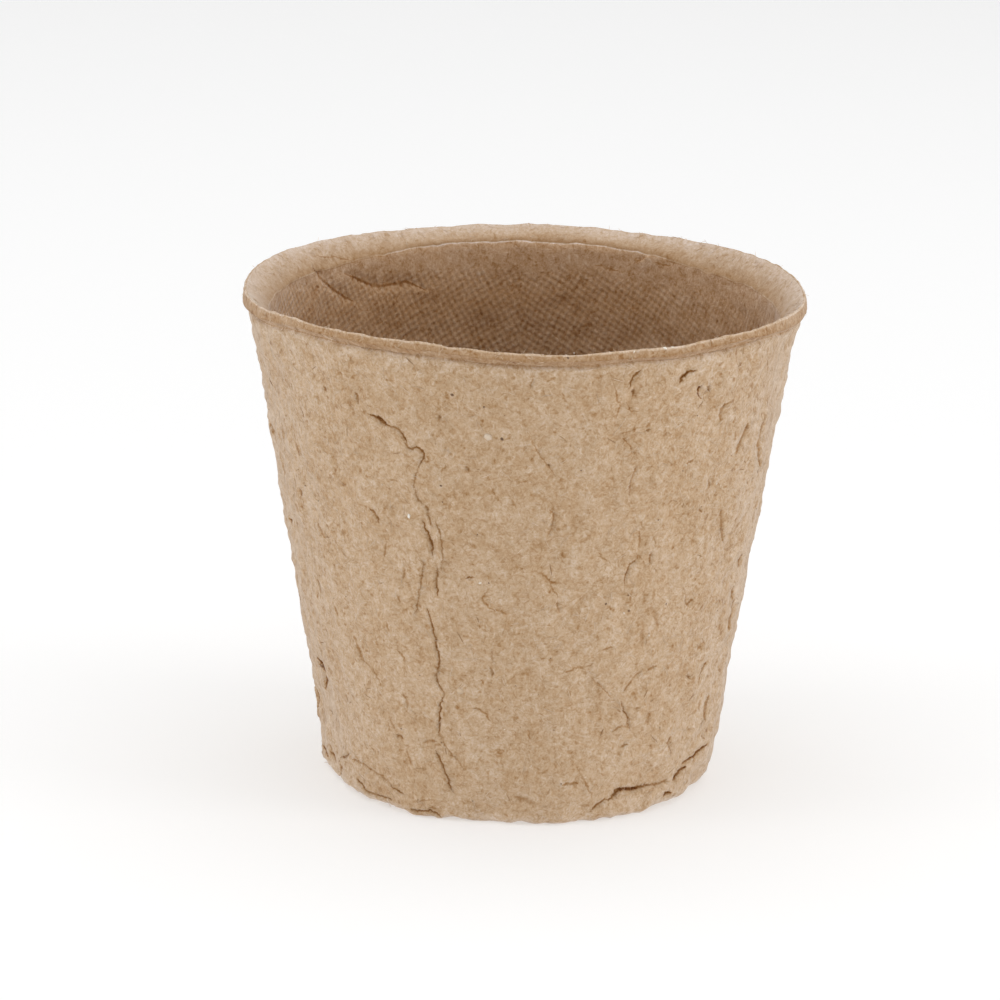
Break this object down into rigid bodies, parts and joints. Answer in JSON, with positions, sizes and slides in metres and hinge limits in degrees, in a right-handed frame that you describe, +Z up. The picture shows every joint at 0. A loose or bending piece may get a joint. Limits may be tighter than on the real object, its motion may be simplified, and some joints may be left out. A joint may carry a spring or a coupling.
{
  "type": "plant pot",
  "caption": "Round tapered plant pot of moulded paper pulp with a flared rim and a dished base with a drain hole; it holds soil for a seedling and can be planted whole.",
  "frame": {"origin": "middle of the foot ring, on the surface that the pot stands on", "axes": "+Z up along the pot's axis, towards the open mouth; X and Y are any two level directions, and the picture looks along +Y"},
  "size_m": [0.08, 0.08, 0.071],
  "materials": {
    "rim_pulp": "matt brown paper pulp, pressed a little smoother and darker than the wall",
    "wall_pulp": "matt rough brown paper pulp with fibres, flecks and drying cracks outside and a woven-wire imprint inside",
    "base_pulp": "matt rough brown paper pulp"
  },
  "bodies": {
    "root": {"rim": "rim_pulp", "wall": "wall_pulp", "base": "base_pulp"}
  },
  "joints": []
}
